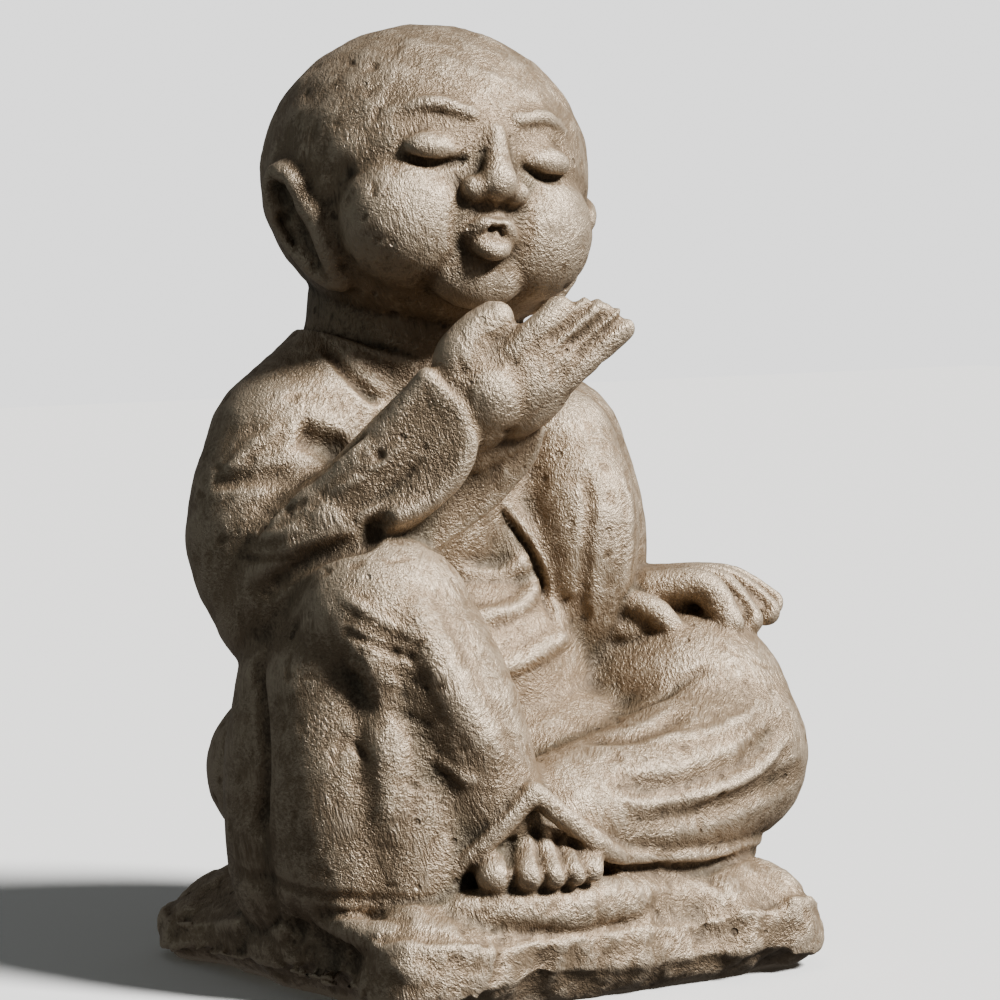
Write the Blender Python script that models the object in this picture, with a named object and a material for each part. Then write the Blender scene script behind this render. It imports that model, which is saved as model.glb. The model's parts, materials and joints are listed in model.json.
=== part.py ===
"""Garden statue of a seated child monk, cast in one piece with the rock he sits on.

The figure is drawn in millimetres on a frame of its own: x to the figure's left, y to its back,
z up from a little below the top of the rock, where the figure sinks into it. FIGURE_HEIGHT
scales that drawing. The rock has its own sizes. Clay forms are laid down, fused into one skin
and softened, then folds, edges and hollows are worked into the skin, and the underside is cut
flat.
"""

import math

import bmesh
import bpy
import numpy as np
from mathutils import Matrix, Vector, noise
from mathutils.bvhtree import BVHTree

# Driving sizes, in metres
FIGURE_HEIGHT = 0.436
ROCK_WIDTH = 0.282
ROCK_DEPTH = 0.256
ROCK_HEIGHT = 0.060
SEAT_SINK = 0.008
ROCK_CORNER = 0.045
ROCK_SHOULDER = 0.016
ROCK_LUMPS = 0.006

# Corners where the top of the rock falls away: x and y as shares of its half width and half
# depth, then reach and drop in metres
ROCK_FALLS = ((-1.05, 0.80, 0.062, 0.028), (1.06, -0.62, 0.042, 0.018))

# The figure is drawn this tall, in millimetres, from where it is sunk in the rock to the crown
DRAWN_HEIGHT = 436.0

# Fineness of the clay and the waste left below the ground before it is cut, in metres
CLOTH_GRAIN = 0.0040
FINE_GRAIN = 0.0028
WASTE = 0.010

# Faces that the finished solid keeps, and how readily the fine parts give theirs up
FACES = 9700
FINE_WEIGHT = 0.08

BRONZE_STONE = (0.27, 0.21, 0.15, 1.0)

# Lines through the middle of the limbs, as (x, y, z, radius)
RIGHT_UPPER_ARM = [(-84, 54, 214, 48), (-102, 48, 172, 47), (-104, 36, 138, 37)]
RIGHT_FOREARM = [(-106, 32, 138, 38), (-106, 8, 158, 36), (-98, -12, 180, 31)]
RIGHT_WRIST = [(-48, -66, 248, 22), (-58, -56, 232, 19), (-78, -36, 206, 17)]
LEFT_UPPER_ARM = [(78, 54, 210, 40), (94, 56, 166, 42), (96, 50, 128, 36)]
LEFT_FOREARM = [(96, 46, 126, 34), (88, 28, 128, 26), (82, 12, 130, 20)]
ROBE_PANEL = [(46, 4, 214, 32), (48, -14, 176, 32), (48, -16, 134, 24), (50, -14, 104, 10)]
LEFT_ARMPIT = [(64, 28, 212, 36), (70, 18, 172, 37), (72, 10, 132, 30)]
RIGHT_THIGH = [(-60, 56, 60, 54), (-86, 6, 106, 50), (-94, -38, 134, 46)]
RIGHT_SHIN = [(-92, -40, 134, 44), (-76, -68, 90, 38), (-62, -84, 44, 29)]
LEFT_THIGH = [(52, 50, 56, 54), (84, 2, 71, 58), (106, -48, 71, 58)]
LEFT_SHIN = [(105, -53, 54, 52), (48, -80, 42, 42), (-16, -84, 34, 34)]
NECK = [(-8, 52, 205, 64), (-11, 54, 250, 60), (-10, 52, 300, 57)]
RIGHT_SHOULDER = [(-84, 54, 214, 48), (-52, 56, 234, 48), (-14, 56, 250, 46)]
LEFT_SHOULDER = [(76, 54, 208, 40), (44, 56, 228, 44), (0, 56, 248, 44)]

# Right sleeve: where its flaps spring from, and their edges
SLEEVE_ROOT = (-98, -14, 186, 26)
NEAR_FLAP = [(-80, -57, 257), (-68, -71, 238), (-68, -71, 216), (-80, -63, 198), (-94, -54, 189)]
FAR_FLAP = [(-22, -70, 230), (-26, -64, 212), (-46, -54, 190), (-70, -46, 172)]

# Robe falling from the right thigh and shin to the rock
SKIRT = (
    [(-106, 4, 96, 42), (-110, 6, 50, 44), (-110, 4, 6, 42)],
    [(-106, -24, 100, 44), (-106, -34, 50, 48), (-108, -40, 4, 44)],
    [(-90, -50, 70, 44), (-90, -57, 30, 42), (-92, -60, 0, 40)],
)

# Edges of the robe that part over the right foot
FOOT_HEMS = (
    [(-57, -115, 55, 6), (-77, -107, 33, 5.5), (-96, -90, 10, 5)],
    [(-57, -115, 55, 6), (-36, -121, 37, 6), (-24, -122, 28, 6), (-4, -118, 17, 6)],
)

# Where the head and hands stand: origins, directions and turns in the figure's frame
HEAD_PLACE = (-6, 48, 350)
HEAD_TURN = (-10, 7, -10)
RAISED_HAND = ((-28, -80, 263), (0.66, -0.40, 0.64), (-0.588, -0.809, -0.2))
RESTING_HAND = ((101, -20, 132), (0.80, -0.58, -0.06), (0, 0, 1))
RIGHT_FOOT = ((-52, -98, 24), (-0.46, -0.88, 0), (0, 0, 1))

# Fingers and toes in those frames, as (across, reach, drop, radius) of their tips
RAISED_FINGERS = ((-15, 33, 3, 7), (-5, 45, 3, 7), (5, 51, 3, 7), (14, 51, 3, 6.5))
RESTING_FINGERS = ((27, 31, 8, 8), (11, 41, 8, 8), (-6, 50, 6, 8), (-22, 53, 4, 7.5))
TOES = ((17, 23, 9, 9.5), (0, 25, 9, 8), (-13, 23, 9, 7.5), (-24, 20, 9, 7), (-33, 15, 9, 6.5))

# The skull and the jaw, as centres and half sizes in the head's frame, and marks round the
# rim of an ear and down the front of it, as (back, up)
HEAD_BALLS = (((0, 4, 6), (87, 89, 80)), ((0, -10, -22), (76, 74, 62)))
EAR_RIM = ((-21, -12), (-12, -4), (-1, -7), (3, -22), (-2, -38), (-12, -51), (-22, -60))
EAR_FRONT = ((-19, -15), (-27, -31), (-30, -46), (-26, -60))

# What the tools do to the skin: kind, width, depth and marks along the way, in millimetres.
# A hem lifts the side that lies to the left as its marks are followed.
FOLDS = (
    # Robe crossing the chest, and the bands of cloth below it
    ("hem", 8, 5, [(-6, -16, 190), (9, -20, 167), (16, -28, 147), (19, -38, 122)]),
    ("groove", 6, 2, [(36, -35, 204), (34, -40, 182), (32, -39, 157), (34, -33, 122)]),
    ("ridge", 7, 3, [(-34, -9, 156), (-5, -14, 151), (15, -13, 159)]),
    ("ridge", 7, 4, [(-42, -22, 126), (-7, -30, 134), (17, -19, 147)]),
    ("ridge", 8, 4, [(-36, -38, 102), (-3, -41, 112), (26, -33, 121)]),
    # Neck edge, and the cloth drawn over the right shoulder
    ("hem", 6, 3, [(-40, 4, 262), (-58, 22, 268), (-70, 56, 270), (-52, 96, 268), (-8, 116, 258),
                   (42, 92, 260)]),
    ("groove", 6, 4, [(-77, 40, 266), (-75, 23, 255), (-69, 16, 246), (-61, 13, 240)]),
    ("groove", 12, 7, [(-112, 14, 228), (-98, 6, 222), (-84, -6, 216)]),
    ("groove", 8, 3, [(-143, 47, 203), (-136, 26, 205), (-116, 6, 208)]),
    # Right sleeve, over the upper arm and the knee
    ("hem", 8, 4, [(-106, -38, 232), (-118, -22, 216), (-128, -3, 198), (-140, 10, 172)]),
    ("groove", 9, 5, [(-147, 8, 143), (-136, -20, 164), (-121, -42, 178), (-103, -60, 188)]),
    # Right leg: long falls of cloth from the knee, and the hip behind them
    ("ridge", 14, 4, [(-104, -76, 150), (-98, -88, 128), (-88, -101, 98), (-72, -114, 66)]),
    ("ridge", 14, 4, [(-125, -64, 140), (-122, -74, 104), (-120, -80, 70), (-124, -84, 30)]),
    ("groove", 16, 4, [(-112, -80, 120), (-106, -90, 90), (-100, -98, 52)]),
    ("groove", 9, 6, [(-143, 3, 120), (-150, -10, 92), (-153, -16, 62), (-156, -12, 26)]),
    # Left leg: folds sweeping from the shin round the knee
    ("groove", 9, 4, [(-2, -80, 74), (14, -92, 70), (34, -96, 74), (62, -92, 88)]),
    ("groove", 10, 5, [(-10, -112, 56), (18, -116, 50), (52, -118, 54), (84, -111, 60), (124, -92, 76)]),
    ("ridge", 8, 4, [(33, -120, 44), (58, -118, 48), (84, -112, 52), (120, -94, 66)]),
    ("groove", 10, 5, [(-6, -118, 36), (32, -121, 36), (58, -121, 37), (92, -110, 42), (128, -84, 50)]),
    # Back of the robe, drawn from the left shoulder to the right hip
    ("ridge", 15, 4, [(46, 100, 226), (14, 112, 190), (-34, 114, 152), (-72, 104, 122)]),
    ("ridge", 15, 4, [(76, 92, 186), (36, 118, 148), (-16, 124, 112), (-66, 118, 82)]),
    ("groove", 13, 4, [(62, 96, 208), (26, 114, 170), (-24, 120, 132), (-70, 110, 102)]),
    ("groove", 13, 4, [(74, 98, 144), (34, 122, 106), (-12, 126, 78), (-60, 122, 52)]),
    # Where the robe lies on the rock
    ("groove", 8, 3, [(-158, 14, 8), (-151, -47, 6), (-123, -85, 4), (-100, -101, 4)]),
    ("groove", 8, 5, [(-20, -116, 18), (5, -115, 12), (34, -110, 8), (71, -98, 6), (112, -80, 6)]),
)

# Hollows worn in the rock, their marks as shares of its half width, half depth and height
ROCK_HOLLOWS = (
    ("groove", 26, 7, [(-1, -0.16, 0.65), (-1, -0.40, 0.50), (-1, -0.70, 0.40)]),
    ("groove", 22, 7, [(0.03, -1, 0.70), (0.28, -1, 0.55), (0.49, -1, 0.30)]),
    ("groove", 22, 6, [(-0.73, -1, 0.60), (-0.53, -1, 0.45), (-0.35, -1, 0.25)]),
)

# The same for the head, in its own frame: mouth, closed eyes, cheeks and ears
FACE_LINES = [("groove", 4.5, 5, [(-7, -92, -40), (7, -92, -40)])]
for eye in (-1, 1):
    lid = [(eye * 14, -82, 0), (eye * 22, -80, -3), (eye * 32, -76, -4), (eye * 44, -68, 0)]
    cheek = [(eye * 19, -86, -24), (eye * 20, -84, -40), (eye * 14, -82, -52)]
    ear = [(eye * 92, -11, -15), (eye * 92, -12, -29), (eye * 90, -16, -44)]
    FACE_LINES += [("groove", 3.5, 3, lid), ("groove", 7, 1, cheek), ("groove", 6, 5, ear)]


def gaps_between(tips, width, depth, above, below):
    """Grooves halfway between neighbouring fingers or toes, over the back and round the tips."""
    lines = []
    for one, two in zip(tips, tips[1:]):
        across = (one[0] + two[0]) / 2
        reach, drop = (one[1] + two[1]) / 2, (one[2] + two[2]) / 2
        marks = [(across * 0.8, reach * 0.25, above), (across * 0.9, reach * 0.6, above - drop * 0.4),
                 (across, reach + 5, above * 0.4 - drop), (across, reach, below - drop)]
        lines.append(("groove", width, depth, marks))
    return lines


def drawn_frame():
    """From the drawing's millimetres to metres above the ground."""
    share = FIGURE_HEIGHT / DRAWN_HEIGHT
    return Matrix.Translation((0, 0, ROCK_HEIGHT - SEAT_SINK)) @ Matrix.Scale(share, 4)


def turned(x=0.0, y=0.0, z=0.0):
    """A rotation in degrees: roll about y first, then pitch about x, then yaw about z."""
    matrix = Matrix.Identity(4)
    for degrees, axis in ((z, "Z"), (x, "X"), (y, "Y")):
        matrix = matrix @ Matrix.Rotation(math.radians(degrees), 4, axis)
    return matrix


def aimed(origin, along, up):
    """A frame at origin whose y runs along a direction and whose z is nearest to up."""
    y = Vector(along).normalized()
    z = (Vector(up) - y * y.dot(Vector(up))).normalized()
    x = y.cross(z)
    return Matrix.Translation(origin) @ Matrix((x, y, z)).transposed().to_4x4()


def head_frame(frame):
    """Chin lifted, crown leaning to the figure's left, face turned to the raised hand."""
    return frame @ Matrix.Translation(HEAD_PLACE) @ turned(*HEAD_TURN)


def smooth_route(points, steps):
    """A Catmull-Rom curve through rows of numbers, with so many samples to a span."""
    rows = np.array(points, float)
    rows = np.vstack([2 * rows[0] - rows[1], rows, 2 * rows[-1] - rows[-2]])
    out = []
    for a, b, c, d in zip(rows, rows[1:], rows[2:], rows[3:]):
        for t in np.arange(steps) / steps:
            bend = 2 * b + (c - a) * t + (2 * a - 5 * b + 4 * c - d) * t**2
            out.append(0.5 * (bend + (3 * b - a - 3 * c + d) * t**3))
    out.append(rows[-2])
    return np.array(out)


def round_pattern():
    """Corners and faces of a unit ball."""
    pattern = bmesh.new()
    bmesh.ops.create_icosphere(pattern, subdivisions=3, radius=1.0)
    corners = np.array([vert.co for vert in pattern.verts])
    faces = np.array([[vert.index for vert in face.verts] for face in pattern.faces])
    pattern.free()
    return corners, faces


class Clay:
    """Overlapping closed forms in one frame, waiting to be fused."""

    pattern = None

    def __init__(self, frame):
        self.frame = frame
        self.corners = []
        self.faces = []
        self.count = 0

    def add(self, corners, faces):
        self.corners.append(corners)
        self.faces.extend((np.asarray(faces) + self.count).tolist())
        self.count += len(corners)

    def ball(self, centre, radii):
        """An ellipsoid, or a true ball if only one radius is given."""
        sizes = (radii,) * 3 if isinstance(radii, (int, float)) else radii
        shape = np.array(self.frame @ Matrix.Translation(centre) @ Matrix.Diagonal((*sizes, 1.0)))
        corners, faces = Clay.pattern
        self.add(corners @ shape[:3, :3].T + shape[:3, 3], faces)

    def limb(self, stations):
        """A tapering roll through stations of (x, y, z, radius)."""
        last = None
        for x, y, z, radius in smooth_route(stations, 12):
            spot = Vector((x, y, z))
            if last is None or (spot - last).length > 0.25 * radius:
                self.ball(spot, float(radius))
                last = spot

    def flap(self, root, edge, rim):
        """A leaf of cloth spread from a thick root (x, y, z, radius) to a rounded edge."""
        for x, y, z in smooth_route(edge, 5):
            self.limb([root, (float(x), float(y), float(z), rim)])

    def fused(self, grain, soften):
        """The clay as one skin, with its joins softened. Returns a mesh."""
        mesh = bpy.data.meshes.new("clay")
        mesh.from_pydata(np.vstack(self.corners).tolist(), [], self.faces)
        return modified(mesh, fuse=grain, soften=soften)


def modified(mesh, fuse=None, soften=0, share=None, group=None):
    """The mesh after its modifiers: fused at a grain, softened in steps, thinned to a share."""
    block = bpy.data.objects.new("block", mesh)
    bpy.context.scene.collection.objects.link(block)
    if fuse:
        step = block.modifiers.new("Fuse", "REMESH")
        step.mode = "VOXEL"
        step.voxel_size = fuse
    if soften:
        step = block.modifiers.new("Soften", "SMOOTH")
        step.factor = 0.5
        step.iterations = soften
    if share:
        block.vertex_groups.new(name="open to thinning")
        for weight, members in group.items():
            block.vertex_groups[0].add(members, weight, "REPLACE")
        step = block.modifiers.new("Thin", "DECIMATE")
        step.ratio = share
        step.vertex_group = "open to thinning"
        step.vertex_group_factor = 0.00002
    graph = bpy.context.evaluated_depsgraph_get()
    result = bpy.data.meshes.new_from_object(block.evaluated_get(graph))
    bpy.data.objects.remove(block)
    bpy.data.meshes.remove(mesh)
    return result


def points_of(mesh, attribute="co"):
    """Places or normals of a mesh's points, a row each."""
    values = np.empty(3 * len(mesh.vertices))
    mesh.vertices.foreach_get(attribute, values)
    return values.reshape(-1, 3)


def body_clay(frame):
    """Trunk, arms in their sleeves and legs under the robe."""
    clay = Clay(frame)
    clay.ball((-8, 48, 186), (84, 64, 84))
    clay.ball((-8, 60, 224), (94, 52, 50))
    clay.ball((-6, 16, 94), (74, 62, 66))
    clay.ball((-6, 60, 120), (84, 58, 70))
    clay.ball((-6, 68, 84), (88, 56, 64))
    clay.ball((-4, 74, 48), (84, 50, 50))
    clay.ball((-62, 68, 46), (62, 56, 50))
    clay.ball((52, 64, 44), (60, 56, 46))
    clay.ball((24, -30, 44), (70, 50, 48))
    clay.ball((20, 6, 150), (30, 30, 48))
    for line in (NECK, RIGHT_SHOULDER, LEFT_SHOULDER, RIGHT_UPPER_ARM, RIGHT_FOREARM,
                 LEFT_UPPER_ARM, LEFT_FOREARM, LEFT_ARMPIT, ROBE_PANEL, RIGHT_THIGH,
                 RIGHT_SHIN, LEFT_THIGH, LEFT_SHIN, *SKIRT):
        clay.limb(line)
    return clay


def sleeve_clay(frame):
    """Wide right sleeve, its two flaps parted round the wrist and the far one on the chest."""
    clay = Clay(frame)
    clay.flap(SLEEVE_ROOT, NEAR_FLAP, 5.5)
    clay.flap(SLEEVE_ROOT, FAR_FLAP, 5.0)
    clay.limb([(x, y, z, 6.0) for x, y, z in NEAR_FLAP])
    clay.ball((-36, -24, 212), (15, 44, 25))
    clay.limb([(-70, -44, 214, 16), (-46, -58, 222, 12), (-30, -66, 228, 8)])
    return clay


def raised_hand_clay(frame):
    """Right hand with its back to the front, palm turned up to the mouth."""
    clay = Clay(frame @ aimed(*RAISED_HAND))
    clay.ball((2, -14, 0), (24, 31, 14))
    clay.ball((-14, -28, -4), (20, 26, 16))
    for across, reach, drop, size in RAISED_FINGERS:
        clay.limb([(across * 0.9, -6, 2, 9), (across, 14, 2, size), (across, reach - 7, -drop, size)])
    clay.limb([(-12, -40, -2, 14), (-25, -29, -3, 15), (-31, -16, -4, 12), (-31, -1, -5, 10)])
    clay.frame = frame
    clay.limb(RIGHT_WRIST)
    return clay


def resting_hand_clay(frame):
    """Left hand lying over the knee, thumb curled in front."""
    clay = Clay(frame @ aimed(*RESTING_HAND))
    clay.ball((0, -14, -1), (29, 36, 18))
    clay.ball((8, -22, -18), (24, 30, 16))
    for across, reach, drop, size in RESTING_FINGERS:
        clay.limb([(across * 0.7, -8, 7, 10), (across * 0.85, reach * 0.5, 7, size + 1),
                   (across, reach, -drop, size)])
    clay.limb([(14, -46, -6, 10), (26, -34, 0, 9), (34, -19, 0, 8), (38, -7, -3, 7.5), (38, 1, -11, 7)])
    clay.limb([(0, -30, -4, 22), (-4, -56, -6, 24)])
    return clay


def hem_clay(frame):
    """Thick edges of the robe, parting over the right foot."""
    clay = Clay(frame)
    for line in FOOT_HEMS:
        clay.limb(line)
    return clay


def foot_clay(frame):
    """Right foot under the hem, its toes to the front."""
    clay = Clay(frame @ aimed(*RIGHT_FOOT))
    clay.ball((-5, -14, -2), (31, 34, 18))
    for across, reach, drop, size in TOES:
        clay.limb([(across * 0.8, -10, -2, size), (across, reach * 0.4, -3, size),
                   (across, reach, -drop, size)])
    return clay


def side_of_head(y, z):
    """How far the side of the head stands from its middle."""
    widths = []
    for (_, behind, above), (wide, deep, tall) in HEAD_BALLS:
        rest = 1 - ((y - behind) / deep) ** 2 - ((z - above) / tall) ** 2
        widths.append(wide * math.sqrt(max(rest, 0)))
    return max(widths)


def head_clay(frame):
    """Round shaven head of a small child, with full cheeks and ears."""
    clay = Clay(head_frame(frame))
    for centre_of_ball, half_sizes in HEAD_BALLS:
        clay.ball(centre_of_ball, half_sizes)
    for side in (-1, 1):
        clay.ball((side * 30, -50, -28), (40, 33, 38))
        for line, proud, size in ((EAR_RIM, 2, 6), (EAR_FRONT, 0, 6.5)):
            clay.limb([(side * (side_of_head(y, z) + proud), y, z, size) for y, z in line])
    return clay


def face_clay(frame):
    """Brows, closed lids, broad small nose, pursed lips and chin."""
    clay = Clay(head_frame(frame))
    clay.ball((0, -62, -50), (30, 16, 24))
    clay.limb([(0, -81, 14, 6), (0, -84, -2, 8), (0, -87, -13, 10.5)])
    for side in (-1, 1):
        clay.ball((side * 11, -84, -16), (8, 7, 7))
        clay.limb([(side * 13, -80, 23, 4.5), (side * 32, -74, 27, 4.5), (side * 50, -61, 21, 4)])
        clay.ball((side * 30, -73, 4), (17, 11, 9))
    clay.ball((0, -80, -34), (17, 9, 5.5))
    clay.ball((0, -78, -46), (14, 9, 6))
    return clay


def rock_mesh():
    """The rock: a lumpy slab with rounded corners and a low mound under the figure."""
    slab = bmesh.new()
    size = (ROCK_WIDTH, ROCK_DEPTH, ROCK_HEIGHT + WASTE, 1.0)
    place = Matrix.Translation((0, 0, (ROCK_HEIGHT - WASTE) / 2)) @ Matrix.Diagonal(size)
    bmesh.ops.create_cube(slab, size=1.0, matrix=place)
    upright = [e for e in slab.edges if abs(e.verts[0].co.z - e.verts[1].co.z) > 1e-6]
    bmesh.ops.bevel(
        slab, geom=upright, offset=ROCK_CORNER, segments=8, profile=0.5, affect="EDGES"
    )
    rim = [e for e in slab.edges if all(v.co.z > 0 for v in e.verts)]
    bmesh.ops.bevel(
        slab, geom=rim, offset=ROCK_SHOULDER, segments=6, profile=0.5, affect="EDGES"
    )
    bmesh.ops.triangulate(slab, faces=slab.faces)
    corners = np.array([vert.co for vert in slab.verts])
    faces = [[vert.index for vert in face.verts] for face in slab.faces]
    slab.free()
    clay = Clay(Matrix.Identity(4))
    clay.add(corners, faces)
    clay.ball((0, 0.004, ROCK_HEIGHT - 0.004), (ROCK_WIDTH * 0.46, ROCK_DEPTH * 0.45, 0.014))
    mesh = clay.fused(CLOTH_GRAIN, 6)
    points, normals = points_of(mesh), points_of(mesh, "normal")
    lumps = [noise.noise(spot) + 0.25 * noise.noise(spot * 3) for spot in map(Vector, points * 26)]
    points += normals * ROCK_LUMPS * np.array(lumps)[:, None]
    height = np.clip(points[:, 2] / ROCK_HEIGHT, 0, 1)
    for x, y, reach, drop in ROCK_FALLS:
        aside = points[:, 0] - x * ROCK_WIDTH / 2
        behind = points[:, 1] - y * ROCK_DEPTH / 2
        points[:, 2] -= drop * height * np.exp(-(aside**2 + behind**2) / reach**2)
    mesh.vertices.foreach_set("co", points.ravel())
    return mesh


class Skin:
    """A mesh under the tools. Its points are worked as one array and laid back at the end."""

    def __init__(self, mesh):
        self.mesh = mesh
        self.points = points_of(mesh)
        self.normals = points_of(mesh, "normal")
        corners = [tuple(face.vertices) for face in mesh.polygons]
        self.tree = BVHTree.FromPolygons(self.points.tolist(), corners)

    def track(self, frame, marks):
        """Points and outward directions on the skin nearest to a curve through the marks."""
        spots, outs = [], []
        for mark in smooth_route(marks, 16):
            spot, normal = self.tree.find_nearest(frame @ Vector(mark))[:2]
            spots.append(spot)
            outs.append(normal)
        spots, outs = np.array(spots), np.array(outs)
        for _ in range(5):
            for rows in (spots, outs):
                rows[1:-1] = (rows[:-2] + 2 * rows[1:-1] + rows[2:]) / 4
        return spots, outs

    def work(self, spots, outs, width, depth, kind):
        """Cut a groove, raise a ridge, or lift one side of the track into a hem."""
        reach = width * (4.0 if kind == "hem" else 1.0)
        low, high = spots.min(axis=0) - reach, spots.max(axis=0) + reach
        near = np.nonzero(((self.points > low) & (self.points < high)).all(axis=1))[0]
        gaps = self.points[near][:, None, :] - spots[None, :, :]
        spans = np.linalg.norm(gaps, axis=2)
        closest = spans.argmin(axis=1)
        rows = np.arange(len(near))
        away = spans[rows, closest]
        facing = (self.normals[near] * outs[closest]).sum(axis=1) > 0.1
        share = closest / (len(spots) - 1)
        fade = np.clip(np.minimum(share, 1 - share) * 6, 0.0, 1.0)
        if kind == "hem":
            along = np.gradient(spots, axis=0)
            along /= np.linalg.norm(along, axis=1)[:, None] + 1e-12
            across = np.cross(outs, along)[closest]
            side = (gaps[rows, closest] * across).sum(axis=1)
            rise = np.clip(1 - side / reach, 0, 1) ** 2 * np.clip(side / (0.35 * width), 0, 1)
            drop = np.where(side <= 0, np.clip(1 + side / width, 0, 1) ** 2, 0.0)
            lift = depth * (rise - 0.7 * drop)
        else:
            lift = np.clip(1 - (away / width) ** 2, 0, 1) ** 2 * depth
            lift = lift if kind == "ridge" else -lift
        lift = np.where(facing & (away < reach), lift * fade, 0.0)
        self.points[near] += self.normals[near] * lift[:, None]

    def lay_back(self):
        self.mesh.vertices.foreach_set("co", self.points.ravel())
        self.mesh.update()


def carve(mesh, frame):
    """Works the folds, edges and hollows into the skin."""
    skin = Skin(mesh)
    scale = frame.to_scale()[0]
    rock_frame = Matrix.Diagonal((ROCK_WIDTH / 2, ROCK_DEPTH / 2, ROCK_HEIGHT, 1.0))
    work = (
        (frame, scale, FOLDS),
        (head_frame(frame), scale, FACE_LINES),
        (frame @ aimed(*RAISED_HAND), scale, gaps_between(RAISED_FINGERS, 5, 4, 14, -14)),
        (frame @ aimed(*RESTING_HAND), scale, gaps_between(RESTING_FINGERS, 5, 4, 18, -4)),
        (frame @ aimed(*RIGHT_FOOT), scale, gaps_between(TOES, 4, 3, 10, -4)),
        (rock_frame, 0.001, ROCK_HOLLOWS),
    )
    for place, unit, lines in work:
        for kind, width, depth, marks in lines:
            spots, outs = skin.track(place, marks)
            skin.work(spots, outs, width * unit, depth * unit, kind)
    skin.lay_back()


def thinned(mesh, frame):
    """The same form on fewer faces, closest together on the face, hands and foot."""
    fine_spots = (
        (head_frame(frame) @ Vector((0, -84, -16)), 56),
        (frame @ aimed(*RAISED_HAND) @ Vector((0, 10, 0)), 52),
        (frame @ aimed(*RESTING_HAND) @ Vector((6, 10, 0)), 56),
        (frame @ aimed(*RIGHT_FOOT) @ Vector((0, 10, 0)), 40),
    )
    points = points_of(mesh)
    fine = np.zeros(len(points), bool)
    for spot, reach in fine_spots:
        fine |= np.linalg.norm(points - np.array(spot), axis=1) < reach * frame.to_scale()[0]
    group = {1.0: np.nonzero(~fine)[0].tolist(), FINE_WEIGHT: np.nonzero(fine)[0].tolist()}
    whole = sum(len(face.vertices) - 2 for face in mesh.polygons)
    return modified(mesh, share=FACES / whole, group=group)


def cut_flat(mesh):
    """Cuts away everything below the ground and closes the underside."""
    work = bmesh.new()
    work.from_mesh(mesh)
    everything = work.verts[:] + work.edges[:] + work.faces[:]
    cut = bmesh.ops.bisect_plane(
        work, geom=everything, dist=1e-6, plane_co=(0, 0, 0), plane_no=(0, 0, -1), clear_outer=True
    )
    rim = [e for e in cut["geom_cut"] if isinstance(e, bmesh.types.BMEdge)]
    bmesh.ops.contextual_create(work, geom=rim)
    bmesh.ops.recalc_face_normals(work, faces=work.faces)
    work.to_mesh(mesh)
    work.free()


def centre(mesh):
    """Moves the form so that the middle of its outline stands over the origin."""
    points = points_of(mesh)
    points[:, :2] -= (points.min(axis=0) + points.max(axis=0))[:2] / 2
    mesh.vertices.foreach_set("co", points.ravel())
    mesh.update()


def build_statue():
    frame = drawn_frame()
    Clay.pattern = round_pattern()
    parts = [
        body_clay(frame).fused(CLOTH_GRAIN, 12),
        rock_mesh(),
        head_clay(frame).fused(FINE_GRAIN, 6),
        face_clay(frame).fused(FINE_GRAIN, 2),
        sleeve_clay(frame).fused(FINE_GRAIN, 3),
        raised_hand_clay(frame).fused(FINE_GRAIN, 2),
        resting_hand_clay(frame).fused(FINE_GRAIN, 2),
        hem_clay(frame).fused(FINE_GRAIN, 2),
        foot_clay(frame).fused(FINE_GRAIN, 2),
    ]
    whole = Clay(Matrix.Identity(4))
    for mesh in parts:
        whole.add(points_of(mesh), [tuple(face.vertices) for face in mesh.polygons])
        bpy.data.meshes.remove(mesh)
    statue = whole.fused(FINE_GRAIN, 3)
    carve(statue, frame)
    statue = thinned(statue, frame)
    cut_flat(statue)
    centre(statue)
    statue.name = "monk_statue"
    statue.polygons.foreach_set("use_smooth", [True] * len(statue.polygons))
    stone = bpy.data.materials.new("bronze_toned_stone")
    stone.use_nodes = True
    surface = stone.node_tree.nodes["Principled BSDF"]
    surface.inputs["Base Color"].default_value = BRONZE_STONE
    surface.inputs["Metallic"].default_value = 0.35
    surface.inputs["Roughness"].default_value = 0.45
    statue.materials.append(stone)
    body = bpy.data.objects.new("monk_statue", statue)
    bpy.context.scene.collection.objects.link(body)
    return body


def main():
    for old in list(bpy.data.objects):
        bpy.data.objects.remove(old)
    build_statue()


if __name__ == "__main__":
    main()
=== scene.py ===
"""Monk garden statue in bronze-toned cast stone: the dressed model and its stage.

Laid out as an add-on and run as a script. The statue is worked in clay again to the drawing of
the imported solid, and takes the solid's place. Its grain is finer, its folds are softer and have
small creases between them, and stone is left under the edges of the robe and under the toes.
The drawing is in millimetres on a frame of its own: x to the figure's left, y to its back, z up
from a little below the top of the rock, where the figure sinks into it.
"""

import json
import math

import bpy
import numpy as np
from bpy.props import FloatProperty, FloatVectorProperty, IntProperty, PointerProperty
from mathutils import Matrix, Vector, noise
from mathutils.bvhtree import BVHTree

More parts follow.
